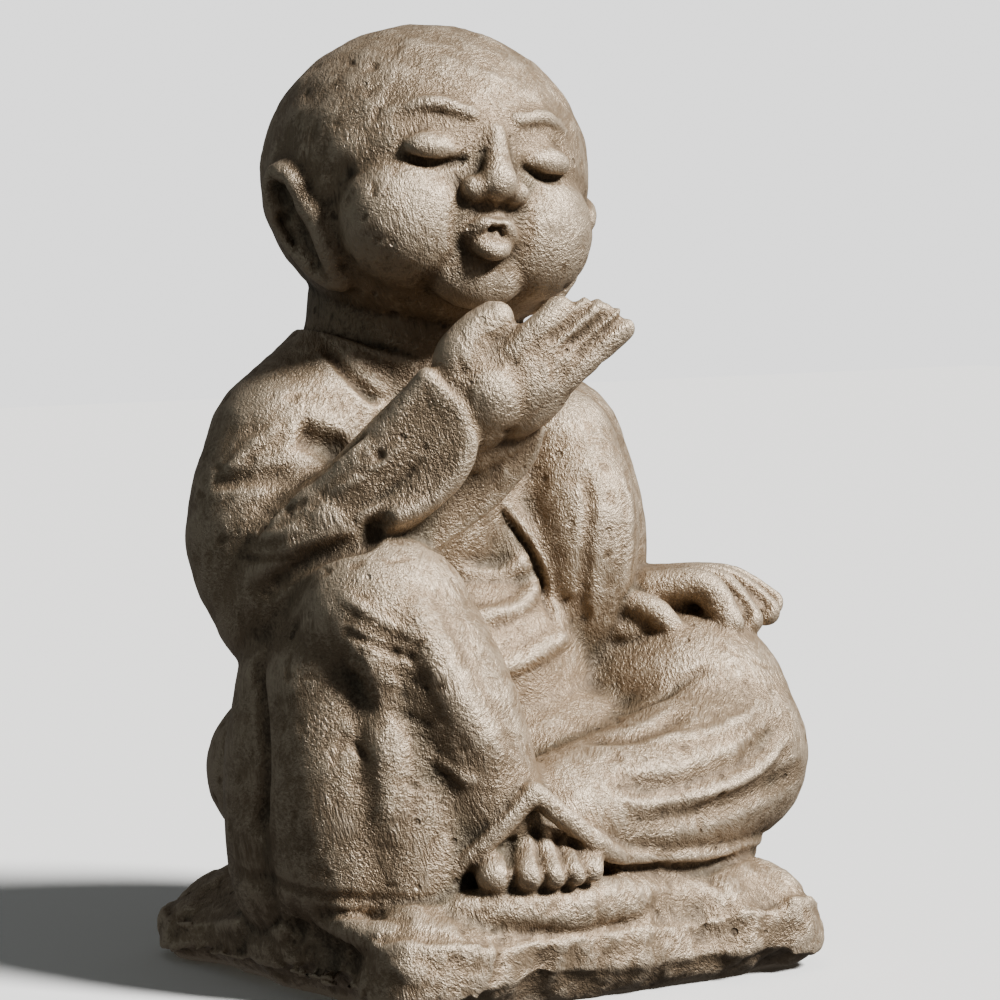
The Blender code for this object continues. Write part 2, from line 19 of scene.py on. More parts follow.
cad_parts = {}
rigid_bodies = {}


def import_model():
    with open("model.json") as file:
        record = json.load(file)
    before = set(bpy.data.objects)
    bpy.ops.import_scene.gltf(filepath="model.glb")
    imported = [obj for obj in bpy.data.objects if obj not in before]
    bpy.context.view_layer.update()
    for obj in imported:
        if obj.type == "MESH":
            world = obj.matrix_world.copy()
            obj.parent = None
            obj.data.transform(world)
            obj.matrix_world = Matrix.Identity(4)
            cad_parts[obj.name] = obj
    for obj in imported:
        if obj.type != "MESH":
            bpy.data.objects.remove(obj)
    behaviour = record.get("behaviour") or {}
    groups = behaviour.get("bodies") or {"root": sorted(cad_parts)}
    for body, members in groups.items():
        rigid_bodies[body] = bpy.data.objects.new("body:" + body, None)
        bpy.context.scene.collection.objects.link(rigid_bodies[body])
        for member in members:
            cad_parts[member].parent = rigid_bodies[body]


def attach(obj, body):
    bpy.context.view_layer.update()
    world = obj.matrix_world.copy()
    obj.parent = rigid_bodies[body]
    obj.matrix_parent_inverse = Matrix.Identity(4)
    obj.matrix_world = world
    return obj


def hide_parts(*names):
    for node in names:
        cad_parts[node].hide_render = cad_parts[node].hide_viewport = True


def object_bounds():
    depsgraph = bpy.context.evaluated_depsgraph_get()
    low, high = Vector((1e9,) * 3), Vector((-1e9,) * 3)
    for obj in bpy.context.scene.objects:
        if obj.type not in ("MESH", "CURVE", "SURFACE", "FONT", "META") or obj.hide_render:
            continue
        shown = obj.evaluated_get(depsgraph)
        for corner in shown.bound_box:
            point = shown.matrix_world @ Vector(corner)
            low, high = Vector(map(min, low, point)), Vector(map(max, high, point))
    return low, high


bl_info = {
    "name": "Monk garden statue",
    "version": (1, 0, 0),
    "blender": (4, 5, 0),
    "location": "View3D > Sidebar > Statue",
    "description": "Cast stone figure of a seated child monk with a bronze tone, and its stage",
    "category": "Object",
}

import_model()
SOLID_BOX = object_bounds()

# The camera and lights: the point looked at, angles in degrees, lengths in metres
FOCUS = Vector((0.0, -0.003, 0.240))
VIEW_AZIMUTH = -36.0
VIEW_ELEVATION = 5.0
VIEW_DISTANCE = 2.2
VIEW_WIDTH = 0.520
SENSOR = 36.0
FLOOR_SIZE = 8.0
FLOOR_DROP = 0.0002
SKY_LIGHT = 0.12
SKY_SEEN = 1.24
SUN_SPREAD = 13.0
KEY_AZIMUTH = 30.0
KEY_ELEVATION = 42.0
KEY_STRENGTH = 6.8
FILL_AZIMUTH = -120.0
FILL_ELEVATION = 18.0
FILL_DISTANCE = 1.8
FILL_SIZE = 0.9
FILL_POWER = 1.6
FILL_COLOUR = (0.72, 0.95, 1.0)

# The finish: how fine its marks are, in counts to a metre, how high they stand in metres, and
# how metallic and how dull it is, and how strongly the dark wash and painted shade darken it
STROKES = {"Fineness": 600.0, "Slimness": 0.24, "Patches": 40.0}
SCRATCHES = {"Fineness": 1300.0, "Slimness": 0.22, "Patches": 70.0}
PITS = {"Fineness": 110.0, "Amount": 0.10}
SAND = 1500.0
CLOUDS = 16.0
RELIEF = 0.0013
METAL_SHARE = 0.45
DULLNESS = 0.40
WASH_AND_SHADE_SHARE = 0.62

# The figure is drawn this tall, in millimetres, from where it is sunk in the rock to the crown
DRAWN_HEIGHT = 436.0

# Corners where the top of the rock falls away: x and y as shares of its half width and half
# depth, then reach and drop in metres
ROCK_FALLS = ((-1.05, 0.80, 0.062, 0.028), (1.06, -0.62, 0.042, 0.018))

# Waste left below the ground before it is cut, height of the rock's lumps, and the grains at
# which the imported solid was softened, in metres
WASTE = 0.010
ROCK_LUMPS = 0.006
CLOTH_GRAIN = 0.0040
FINE_GRAIN = 0.0028

# Lines through the middle of the limbs, as (x, y, z, radius)
RIGHT_UPPER_ARM = [(-84, 54, 214, 48), (-102, 48, 172, 47), (-104, 36, 138, 37)]
RIGHT_FOREARM = [(-106, 32, 138, 38), (-106, 8, 158, 36), (-98, -12, 180, 31)]
RIGHT_WRIST = [(-48, -66, 248, 22), (-58, -56, 232, 19), (-78, -36, 206, 17)]
LEFT_UPPER_ARM = [(78, 54, 210, 40), (94, 56, 166, 42), (96, 50, 128, 36)]
LEFT_FOREARM = [(96, 46, 126, 34), (88, 28, 128, 26), (82, 12, 130, 20)]
ROBE_PANEL = [(46, 4, 214, 32), (48, -14, 176, 32), (48, -16, 134, 24), (50, -14, 104, 10)]
LEFT_ARMPIT = [(64, 28, 212, 36), (70, 18, 172, 37), (72, 10, 132, 30)]
RIGHT_THIGH = [(-60, 56, 60, 54), (-86, 6, 106, 50), (-94, -38, 134, 46)]
RIGHT_SHIN = [(-92, -40, 134, 44), (-76, -68, 90, 38), (-62, -84, 44, 29)]
LEFT_THIGH = [(52, 50, 56, 54), (84, 2, 71, 58), (106, -48, 71, 58)]
LEFT_SHIN = [(105, -53, 54, 52), (48, -80, 42, 42), (-16, -84, 34, 34)]
NECK = [(-8, 52, 205, 64), (-11, 54, 250, 60), (-10, 52, 300, 57)]
RIGHT_SHOULDER = [(-84, 54, 214, 48), (-52, 56, 234, 48), (-14, 56, 250, 46)]
LEFT_SHOULDER = [(76, 54, 208, 40), (44, 56, 228, 44), (0, 56, 248, 44)]

# Right sleeve: where its flaps spring from, and their edges
SLEEVE_ROOT = (-98, -14, 186, 26)
NEAR_FLAP = [(-80, -57, 257), (-68, -71, 238), (-68, -71, 216), (-80, -63, 198), (-94, -54, 189)]
FAR_FLAP = [(-22, -70, 230), (-26, -64, 212), (-46, -54, 190), (-70, -46, 172)]

# Robe falling from the right thigh and shin to the rock
SKIRT = (
    [(-106, 4, 96, 42), (-110, 6, 50, 44), (-110, 4, 6, 42)],
    [(-106, -24, 100, 44), (-106, -34, 50, 48), (-108, -40, 4, 44)],
    [(-90, -50, 70, 44), (-90, -57, 30, 42), (-92, -60, 0, 40)],
)

# Edges of the robe that part over the right foot
FOOT_HEMS = (
    [(-57, -115, 55, 6), (-77, -107, 33, 5.5), (-96, -90, 10, 5)],
    [(-57, -115, 55, 6), (-36, -121, 37, 6), (-24, -122, 28, 6), (-4, -117, 18, 5.5),
     (22, -113, 15, 5), (50, -111, 13, 4.5), (84, -99, 11, 4.5), (114, -80, 10, 4)],
)

# Stone left under the edges of the robe and under the toes
UNDER_SKIRT = [(-136, -34, -6, 8), (-137, -60, -12, 9), (-135, -80, -14, 9), (-126, -97, -14, 8)]
UNDER_HEM = [(0, -106, 8, 8), (30, -104, 5, 9), (60, -98, 4, 9), (90, -86, 3, 9), (112, -70, 4, 9)]
UNDER_TOES = [(-106, -84, -10, 13), (-86, -102, -5, 13), (-62, -113, -4, 13), (-36, -117, -4, 13),
              (-8, -114, -4, 13), (22, -106, -8, 13)]

# Where the head and hands stand: origins, directions and turns in the figure's frame
HEAD_PLACE = (-6, 48, 350)
HEAD_TURN = (-10, 7, -10)
RAISED_HAND = ((-28, -80, 263), (0.66, -0.40, 0.64), (-0.588, -0.809, -0.2))
RESTING_HAND = ((101, -20, 132), (0.80, -0.58, -0.06), (0, 0, 1))
RIGHT_FOOT = ((-52, -98, 24), (-0.46, -0.88, 0), (0, 0, 1))

# Fingers and toes in those frames, as (across, reach, drop, radius) of their tips
RAISED_FINGERS = ((-15, 33, 3, 7), (-5, 45, 3, 7), (5, 51, 3, 7), (14, 51, 3, 6.5))
RESTING_FINGERS = ((27, 32, 8, 8.5), (11, 43, 7, 8.5), (-6, 53, 4, 8.5), (-22, 56, 1, 8))
TOES = ((17, 23, 9, 9.5), (0, 25, 9, 8), (-13, 23, 9, 7.5), (-24, 20, 9, 7), (-33, 15, 9, 6.5))

# The skull and the jaw, as centres and half sizes in the head's frame, and marks round the
# rim of an ear and down the front of it, as (back, up)
HEAD_BALLS = (((0, 4, 6), (87, 89, 80)), ((0, -10, -22), (76, 74, 62)))
EAR_RIM = ((-21, -12), (-12, -4), (-1, -7), (3, -22), (-2, -38), (-12, -51), (-22, -60))
EAR_FRONT = ((-19, -15), (-27, -31), (-30, -46), (-26, -60))

# What the tools do to the skin: kind, width, depth and marks along the way, in millimetres.
# A hem lifts the side that lies to the left as its marks are followed.
FOLDS = (
    # Robe crossing the chest, and the bands of cloth below it
    ("hem", 8, 3.5, [(-6, -16, 190), (9, -20, 167), (16, -28, 147), (19, -38, 122)]),
    ("groove", 6, 2, [(36, -35, 204), (34, -40, 182), (32, -39, 157), (34, -33, 122)]),
    ("ridge", 7, 3, [(-34, -9, 156), (-5, -14, 151), (15, -13, 159)]),
    ("ridge", 7, 4, [(-42, -22, 126), (-7, -30, 134), (17, -19, 147)]),
    ("ridge", 8, 4, [(-36, -38, 102), (-3, -41, 112), (26, -33, 121)]),
    # Neck edge, and the cloth drawn over the right shoulder
    ("hem", 6, 3, [(-40, 4, 262), (-58, 22, 268), (-70, 56, 270), (-52, 96, 268), (-8, 116, 258),
                   (42, 92, 260)]),
    ("groove", 6, 4, [(-77, 40, 266), (-75, 23, 255), (-69, 16, 246), (-61, 13, 240)]),
    ("groove", 12, 7, [(-112, 14, 228), (-98, 6, 222), (-84, -6, 216)]),
    ("groove", 8, 3, [(-143, 47, 203), (-136, 26, 205), (-116, 6, 208)]),
    # Right sleeve, over the upper arm and the knee
    ("hem", 8, 4, [(-106, -38, 232), (-118, -22, 216), (-128, -3, 198), (-140, 10, 172)]),
    ("groove", 9, 5, [(-147, 8, 143), (-136, -20, 164), (-121, -42, 178), (-103, -60, 188)]),
    # Right leg: long falls of cloth from the knee, and the hip behind them
    ("ridge", 14, 4, [(-104, -76, 150), (-98, -88, 128), (-88, -101, 98), (-72, -114, 66)]),
    ("ridge", 14, 4, [(-125, -64, 140), (-122, -74, 104), (-120, -80, 70), (-124, -84, 30)]),
    ("groove", 16, 2.5, [(-112, -80, 120), (-106, -90, 90), (-100, -98, 52)]),
    ("groove", 9, 4.5, [(-143, 3, 120), (-150, -10, 92), (-153, -16, 62), (-156, -12, 26)]),
    # Left leg: folds sweeping from the shin round the knee
    ("groove", 9, 3, [(-2, -80, 74), (14, -92, 70), (34, -96, 74), (62, -92, 88)]),
    ("groove", 10, 3.5, [(-10, -112, 56), (18, -116, 50), (52, -118, 54), (84, -111, 60), (124, -92, 76)]),
    ("ridge", 8, 3, [(33, -120, 44), (58, -118, 48), (84, -112, 52), (120, -94, 66)]),
    ("groove", 10, 3.5, [(-6, -118, 36), (32, -121, 36), (58, -121, 37), (92, -110, 42), (128, -84, 50)]),
    # Back of the robe, drawn from the left shoulder to the right hip
    ("ridge", 15, 4, [(46, 100, 226), (14, 112, 190), (-34, 114, 152), (-72, 104, 122)]),
    ("ridge", 15, 4, [(76, 92, 186), (36, 118, 148), (-16, 124, 112), (-66, 118, 82)]),
    ("groove", 13, 4, [(62, 96, 208), (26, 114, 170), (-24, 120, 132), (-70, 110, 102)]),
    ("groove", 13, 4, [(74, 98, 144), (34, 122, 106), (-12, 126, 78), (-60, 122, 52)]),
    # Where the robe lies on the rock
    ("groove", 5, 1.2, [(-158, 14, 8), (-151, -47, 6), (-123, -85, 4), (-100, -101, 4)]),
    ("groove", 6, 2, [(-20, -116, 18), (5, -115, 12), (34, -110, 8), (71, -98, 6), (112, -80, 6)]),
)

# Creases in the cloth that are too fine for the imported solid
CREASES = (
    # Shin and knee
    ("ridge", 5, 1.2, [(-124, -52, 150), (-114, -70, 138), (-101, -82, 131)]),
    ("groove", 4, 1.6, [(-128, -56, 136), (-117, -75, 126), (-103, -85, 121)]),
    ("ridge", 5, 1.1, [(-130, -58, 120), (-118, -79, 112), (-104, -90, 104)]),
    ("groove", 4, 1.4, [(-126, -66, 104), (-114, -84, 94), (-100, -95, 88)]),
    ("ridge", 5, 1.4, [(-108, -92, 78), (-96, -101, 66), (-84, -106, 60)]),
    ("groove", 4, 1.4, [(-134, -60, 84), (-124, -78, 70), (-108, -92, 58)]),
    # Inside of the elbow, and down the upper arm
    ("groove", 4, 1.3, [(-144, 12, 196), (-134, -6, 192), (-120, -20, 196)]),
    ("ridge", 5, 1.2, [(-148, 18, 182), (-140, -4, 180), (-126, -20, 184)]),
    ("groove", 4, 1.2, [(-149, 20, 168), (-143, -2, 166), (-132, -18, 168)]),
    ("ridge", 6, 1.4, [(-120, 14, 236), (-134, 28, 222), (-144, 42, 200)]),
    # Sleeve towards the wrist
    ("ridge", 4, 1.2, [(-122, -30, 200), (-106, -46, 212), (-92, -56, 226)]),
    ("groove", 4, 1.2, [(-116, -36, 190), (-100, -52, 202), (-86, -62, 218)]),
    # Robe panel and left arm
    ("ridge", 6, 1.1, [(58, -30, 200), (56, -38, 170), (54, -36, 138)]),
    ("groove", 5, 1.0, [(76, -14, 200), (78, -22, 168), (76, -22, 140)]),
    ("ridge", 6, 1.0, [(100, 12, 196), (108, 6, 168), (108, 4, 142)]),
    # Crossed leg
    ("groove", 5, 1.6, [(30, -62, 92), (56, -78, 98), (84, -84, 106)]),
    ("ridge", 6, 1.6, [(20, -96, 68), (48, -104, 70), (80, -102, 76), (112, -90, 84)]),
    ("groove", 5, 1.4, [(60, -112, 44), (90, -106, 50), (118, -92, 62)]),
)

# Hollows worn in the rock, their marks as shares of its half width, half depth and height
ROCK_HOLLOWS = (
    ("groove", 26, 4.5, [(-1, -0.16, 0.65), (-1, -0.40, 0.50), (-1, -0.70, 0.40)]),
    ("groove", 22, 4, [(0.03, -1, 0.70), (0.28, -1, 0.55), (0.49, -1, 0.30)]),
    ("groove", 22, 4, [(-0.64, -1, 0.60), (-0.53, -1, 0.45), (-0.35, -1, 0.25)]),
)

# The same for the head, in its own frame: mouth, closed eyes, cheeks and ears
FACE_LINES = [("groove", 4.5, 5, [(-7, -92, -40), (7, -92, -40)])]
for eye in (-1, 1):
    lid = [(eye * 14, -82, 0), (eye * 22, -80, -3), (eye * 32, -76, -4), (eye * 44, -68, 0)]
    cheek = [(eye * 19, -86, -24), (eye * 20, -84, -40), (eye * 14, -82, -52)]
    ear = [(eye * 92, -11, -15), (eye * 92, -12, -29), (eye * 90, -16, -44)]
    FACE_LINES += [("groove", 3.5, 3, lid), ("groove", 7, 1, cheek), ("groove", 6, 5, ear)]


class StatueSizes(bpy.types.PropertyGroup):
    """Sizes of the figure and its rock."""

    height: FloatProperty(
        name="Figure height", description="From where the figure is sunk in the rock to its crown",
        default=0.436, unit="LENGTH",
    )
    rock_width: FloatProperty(
        name="Rock width", description="Side to side", default=0.282, unit="LENGTH"
    )
    rock_depth: FloatProperty(
        name="Rock depth", description="Front to back", default=0.256, unit="LENGTH"
    )
    rock_height: FloatProperty(
        name="Rock height", description="Ground to the top of the slab", default=0.060,
        unit="LENGTH",
    )
    rock_corner: FloatProperty(
        name="Rock corner", description="Radius of the upright corners", default=0.045,
        unit="LENGTH",
    )
    rock_shoulder: FloatProperty(
        name="Rock shoulder", description="Radius round the top edge", default=0.016,
        unit="LENGTH",
    )
    seat_sink: FloatProperty(
        name="Seat sink", description="How far the figure is sunk into the rock", default=0.008,
        unit="LENGTH",
    )
    grain: FloatProperty(
        name="Clay grain", description="Finest form that the clay keeps", default=0.0017,
        unit="LENGTH",
    )
    faces: IntProperty(
        name="Faces", description="Triangles that the finished casting keeps", default=192000
    )
    tool_marks: FloatProperty(
        name="Tool marks", description="Height of the marks left on the cloth and skin",
        default=0.0006, unit="LENGTH",
    )
    rock_marks: FloatProperty(
        name="Rock marks", description="Height of the rough marks on the rock", default=0.0016,
        unit="LENGTH",
    )


class StatueColours(bpy.types.PropertyGroup):
    """Colours of the finish, among them the colours of its painted shade, painted highlight and painted
    green shade tint.
    """

    bronze: FloatVectorProperty(
        name="Bronze", description="Main tone of the finish", subtype="COLOR", size=4,
        min=0, max=1, default=(0.35, 0.262, 0.178, 1.0),
    )
    # Lighter colour of the raised spots: wear, and also painted highlight on the stroke tops and rounded
    # forms
    rubbed_and_highlight: FloatVectorProperty(
        name="Rubbed bronze and painted highlight", description="Tone of the raised spots", subtype="COLOR", size=4,
        min=0, max=1, default=(0.50, 0.405, 0.300, 1.0),
    )
    # Dark colour: a dark wash in the brush marks and pits, and painted shade in the hollows
    shade: FloatVectorProperty(
        name="Dark wash and painted shade", description="Tone left in hollows and brush marks", subtype="COLOR",
        size=4, min=0, max=1, default=(0.050, 0.036, 0.025, 1.0),
    )
    # Painted shade tint: a green cast put into the wide hollows, copying the greenish cast of the shadows
    green_shade_tint: FloatVectorProperty(
        name="Green shade tint", description="Green cast in the low and sheltered places",
        subtype="COLOR", size=4, min=0, max=1, default=(0.105, 0.125, 0.095, 1.0),
    )
    floor: FloatVectorProperty(
        name="Floor", description="Plain pale floor", subtype="COLOR", size=4, min=0, max=1,
        default=(0.88, 0.87, 0.85, 1.0),
    )


def only(piece):
    """Selects one object, and nothing else, for the next operator."""
    bpy.ops.object.select_all(action="DESELECT")
    piece.select_set(True)
    bpy.context.view_layer.objects.active = piece


def corners_and_faces(mesh):
    """A mesh's points as rows, and the corners of its faces."""
    return points_of(mesh), [tuple(face.vertices) for face in mesh.polygons]


def taken(piece):
    """The mesh of an object that is then cleared away."""
    mesh = piece.data
    bpy.data.objects.remove(piece)
    return mesh


def drawn_frame(sizes):
    """From the drawing's millimetres to metres above the ground."""
    lift = sizes.rock_height - sizes.seat_sink
    return Matrix.Translation((0, 0, lift)) @ Matrix.Scale(sizes.height / DRAWN_HEIGHT, 4)


def gaps_between(tips, width, depth, above, below):
    """Grooves halfway between neighbouring fingers or toes, over the back and round the tips."""
    lines = []
    for one, two in zip(tips, tips[1:]):
        across = (one[0] + two[0]) / 2
        reach, drop = (one[1] + two[1]) / 2, (one[2] + two[2]) / 2
        marks = [(across * 0.8, reach * 0.25, above), (across * 0.9, reach * 0.6, above - drop * 0.4),
                 (across, reach + 5, above * 0.4 - drop), (across, reach, below - drop)]
        lines.append(("groove", width, depth, marks))
    return lines


def turned(x=0.0, y=0.0, z=0.0):
    """A rotation in degrees: roll about y first, then pitch about x, then yaw about z."""
    matrix = Matrix.Identity(4)
    for degrees, axis in ((z, "Z"), (x, "X"), (y, "Y")):
        matrix = matrix @ Matrix.Rotation(math.radians(degrees), 4, axis)
    return matrix


def aimed(origin, along, up):
    """A frame at origin whose y runs along a direction and whose z is nearest to up."""
    y = Vector(along).normalized()
    z = (Vector(up) - y * y.dot(Vector(up))).normalized()
    x = y.cross(z)
    return Matrix.Translation(origin) @ Matrix((x, y, z)).transposed().to_4x4()


def head_frame(frame):
    """Chin lifted, crown leaning to the figure's left, face turned to the raised hand."""
    return frame @ Matrix.Translation(HEAD_PLACE) @ turned(*HEAD_TURN)


def smooth_route(points, steps):
    """A Catmull-Rom curve through rows of numbers, with so many samples to a span."""
    rows = np.array(points, float)
    rows = np.vstack([2 * rows[0] - rows[1], rows, 2 * rows[-1] - rows[-2]])
    out = []
    for a, b, c, d in zip(rows, rows[1:], rows[2:], rows[3:]):
        for t in np.arange(steps) / steps:
            bend = 2 * b + (c - a) * t + (2 * a - 5 * b + 4 * c - d) * t**2
            out.append(0.5 * (bend + (3 * b - a - 3 * c + d) * t**3))
    out.append(rows[-2])
    return np.array(out)


def points_of(mesh, attribute="co"):
    """Places or normals of a mesh's points, a row each."""
    values = np.empty(3 * len(mesh.vertices))
    mesh.vertices.foreach_get(attribute, values)
    return values.reshape(-1, 3)


def round_pattern():
    """Corners and faces of a unit ball."""
    bpy.ops.mesh.primitive_ico_sphere_add(subdivisions=3, radius=1.0)
    mesh = taken(bpy.context.object)
    pattern = corners_and_faces(mesh)
    bpy.data.meshes.remove(mesh)
    return pattern[0], np.array(pattern[1])


class Clay:
    """Overlapping closed forms in one frame, waiting to be fused."""

    pattern = None

    def __init__(self, frame):
        self.frame = frame
        self.corners = []
        self.faces = []
        self.count = 0

    def add(self, corners, faces):
        self.corners.append(corners)
        self.faces.extend((np.asarray(faces) + self.count).tolist())
        self.count += len(corners)

    def ball(self, centre, radii):
        """An ellipsoid, or a true ball if only one radius is given."""
        sizes = (radii,) * 3 if isinstance(radii, (int, float)) else radii
        shape = np.array(self.frame @ Matrix.Translation(centre) @ Matrix.Diagonal((*sizes, 1.0)))
        corners, faces = Clay.pattern
        self.add(corners @ shape[:3, :3].T + shape[:3, 3], faces)

    def limb(self, stations):
        """A tapering roll through stations of (x, y, z, radius)."""
        last = None
        for x, y, z, radius in smooth_route(stations, 12):
            spot = Vector((x, y, z))
            if last is None or (spot - last).length > 0.25 * radius:
                self.ball(spot, float(radius))
                last = spot

    def flap(self, root, edge, rim):
        """A leaf of cloth spread from a thick root (x, y, z, radius) to a rounded edge."""
        for x, y, z in smooth_route(edge, 5):
            self.limb([root, (float(x), float(y), float(z), rim)])

    def fused(self, grain, soften):
        """The clay as one skin, with its joins softened. Returns a mesh."""
        mesh = bpy.data.meshes.new("clay")
        mesh.from_pydata(np.vstack(self.corners).tolist(), [], self.faces)
        return modified(mesh, fuse=grain, soften=soften)


def modified(mesh, fuse=None, soften=0, share=None):
    """The mesh after its modifiers: fused at a grain, softened in steps, thinned to a share."""
    block = bpy.data.objects.new("block", mesh)
    bpy.context.scene.collection.objects.link(block)
    only(block)
    if fuse:
        bpy.ops.object.modifier_add(type="REMESH")
        step = block.modifiers[-1]
        step.mode = "VOXEL"
        step.voxel_size = fuse
        bpy.ops.object.modifier_apply(modifier=step.name)
    if soften:
        bpy.ops.object.modifier_add(type="SMOOTH")
        step = block.modifiers[-1]
        step.factor = 0.5
        step.iterations = soften
        bpy.ops.object.modifier_apply(modifier=step.name)
    if share:
        bpy.ops.object.modifier_add(type="DECIMATE")
        step = block.modifiers[-1]
        step.ratio = share
        bpy.ops.object.modifier_apply(modifier=step.name)
    return taken(block)


def body_clay(frame):
    """Trunk, arms in their sleeves and legs under the robe."""
    clay = Clay(frame)
    clay.ball((-8, 48, 186), (84, 64, 84))
    clay.ball((-8, 60, 224), (94, 52, 50))
    clay.ball((-6, 16, 94), (74, 62, 66))
    clay.ball((-6, 60, 120), (84, 58, 70))
    clay.ball((-6, 68, 84), (88, 56, 64))
    clay.ball((-4, 74, 48), (84, 50, 50))
    clay.ball((-62, 68, 46), (62, 56, 50))
    clay.ball((52, 64, 44), (60, 56, 46))
    clay.ball((24, -30, 44), (70, 50, 48))
    clay.ball((20, 6, 150), (30, 30, 48))
    for line in (NECK, RIGHT_SHOULDER, LEFT_SHOULDER, RIGHT_UPPER_ARM, RIGHT_FOREARM,
                 LEFT_UPPER_ARM, LEFT_FOREARM, LEFT_ARMPIT, ROBE_PANEL, RIGHT_THIGH,
                 RIGHT_SHIN, LEFT_THIGH, LEFT_SHIN, *SKIRT):
        clay.limb(line)
    return clay


def sleeve_clay(frame):
    """Wide right sleeve, its two flaps parted round the wrist and the far one on the chest."""
    clay = Clay(frame)
    clay.flap(SLEEVE_ROOT, NEAR_FLAP, 5.5)
    clay.flap(SLEEVE_ROOT, FAR_FLAP, 5.0)
    clay.limb([(x, y, z, 6.0) for x, y, z in NEAR_FLAP])
    clay.ball((-36, -24, 212), (15, 44, 25))
    clay.limb([(-70, -44, 214, 16), (-46, -58, 222, 12), (-30, -66, 228, 8)])
    return clay


def raised_hand_clay(frame):
    """Right hand with its back to the front, palm turned up to the mouth."""
    clay = Clay(frame @ aimed(*RAISED_HAND))
    clay.ball((2, -14, 0), (24, 31, 14))
    clay.ball((-14, -28, -4), (20, 26, 16))
    for across, reach, drop, size in RAISED_FINGERS:
        clay.limb([(across * 0.9, -6, 2, 9), (across, 14, 2, size), (across, reach - 7, -drop, size)])
    clay.limb([(-12, -40, -2, 14), (-25, -29, -3, 15), (-31, -16, -4, 12), (-31, -1, -5, 10)])
    clay.frame = frame
    clay.limb(RIGHT_WRIST)
    return clay


def resting_hand_clay(frame):
    """Left hand lying over the knee, thumb curled in front."""
    clay = Clay(frame @ aimed(*RESTING_HAND))
    clay.ball((0, -14, -1), (29, 36, 18))
    clay.ball((8, -22, -18), (24, 30, 16))
    clay.ball((26, -19, -14), (16, 22, 13))
    for across, reach, drop, size in RESTING_FINGERS:
        clay.limb([(across * 0.7, -8, 7, 10), (across * 0.85, reach * 0.55, 10, size + 1),
                   (across, reach, -drop, size)])
    clay.limb([(14, -46, -6, 10), (26, -34, 0, 9), (34, -19, 0, 8), (38, -7, -3, 7.5), (38, 1, -11, 7)])
    clay.limb([(0, -30, -4, 22), (-4, -56, -6, 24)])
    return clay


def hem_clay(frame):
    """Thick edges of the robe, parting over the right foot, and the stone left under them."""
    clay = Clay(frame)
    for line in FOOT_HEMS:
        clay.limb(line)
    for line in (UNDER_SKIRT, UNDER_HEM, UNDER_TOES):
        clay.limb(line)
    return clay


def foot_clay(frame):
    """Right foot under the hem, its toes to the front."""
    clay = Clay(frame @ aimed(*RIGHT_FOOT))
    clay.ball((-5, -14, -2), (31, 34, 18))
    for across, reach, drop, size in TOES:
        clay.limb([(across * 0.8, -10, -2, size), (across, reach * 0.4, -3, size),
                   (across, reach, -drop, size)])
    return clay


def side_of_head(y, z):
    """How far the side of the head stands from its middle."""
    widths = []
    for (_, behind, above), (wide, deep, tall) in HEAD_BALLS:
        rest = 1 - ((y - behind) / deep) ** 2 - ((z - above) / tall) ** 2
        widths.append(wide * math.sqrt(max(rest, 0)))
    return max(widths)


def head_clay(frame):
    """Round shaven head of a small child, with full cheeks and ears."""
    clay = Clay(head_frame(frame))
    for centre_of_ball, half_sizes in HEAD_BALLS:
        clay.ball(centre_of_ball, half_sizes)
    for side in (-1, 1):
        clay.ball((side * 30, -50, -28), (40, 33, 38))
        for line, proud, size in ((EAR_RIM, 2, 6), (EAR_FRONT, 0, 6.5)):
            clay.limb([(side * (side_of_head(y, z) + proud), y, z, size) for y, z in line])
    return clay


def face_clay(frame):
    """Brows, closed lids, broad small nose, pursed lips and chin."""
    clay = Clay(head_frame(frame))
    clay.ball((0, -62, -50), (30, 16, 24))
    clay.limb([(0, -81, 14, 6), (0, -84, -2, 8), (0, -87, -13, 10.5)])
    for side in (-1, 1):
        clay.ball((side * 11, -84, -16), (8, 7, 7))
        clay.limb([(side * 13, -80, 23, 4.5), (side * 32, -74, 27, 4.5), (side * 50, -61, 21, 4)])
        clay.ball((side * 30, -73, 4), (17, 11, 9))
    clay.limb([(-14, -78, -38, 3.5), (-6, -85, -34, 4.5), (0, -86, -35, 4), (6, -85, -34, 4.5),
               (14, -78, -38, 3.5)])
    clay.limb([(-12, -78, -42, 3.5), (0, -85, -47, 5.5), (12, -78, -42, 3.5)])
    clay.ball((0, -76, -40), (14, 8, 9))
    return clay


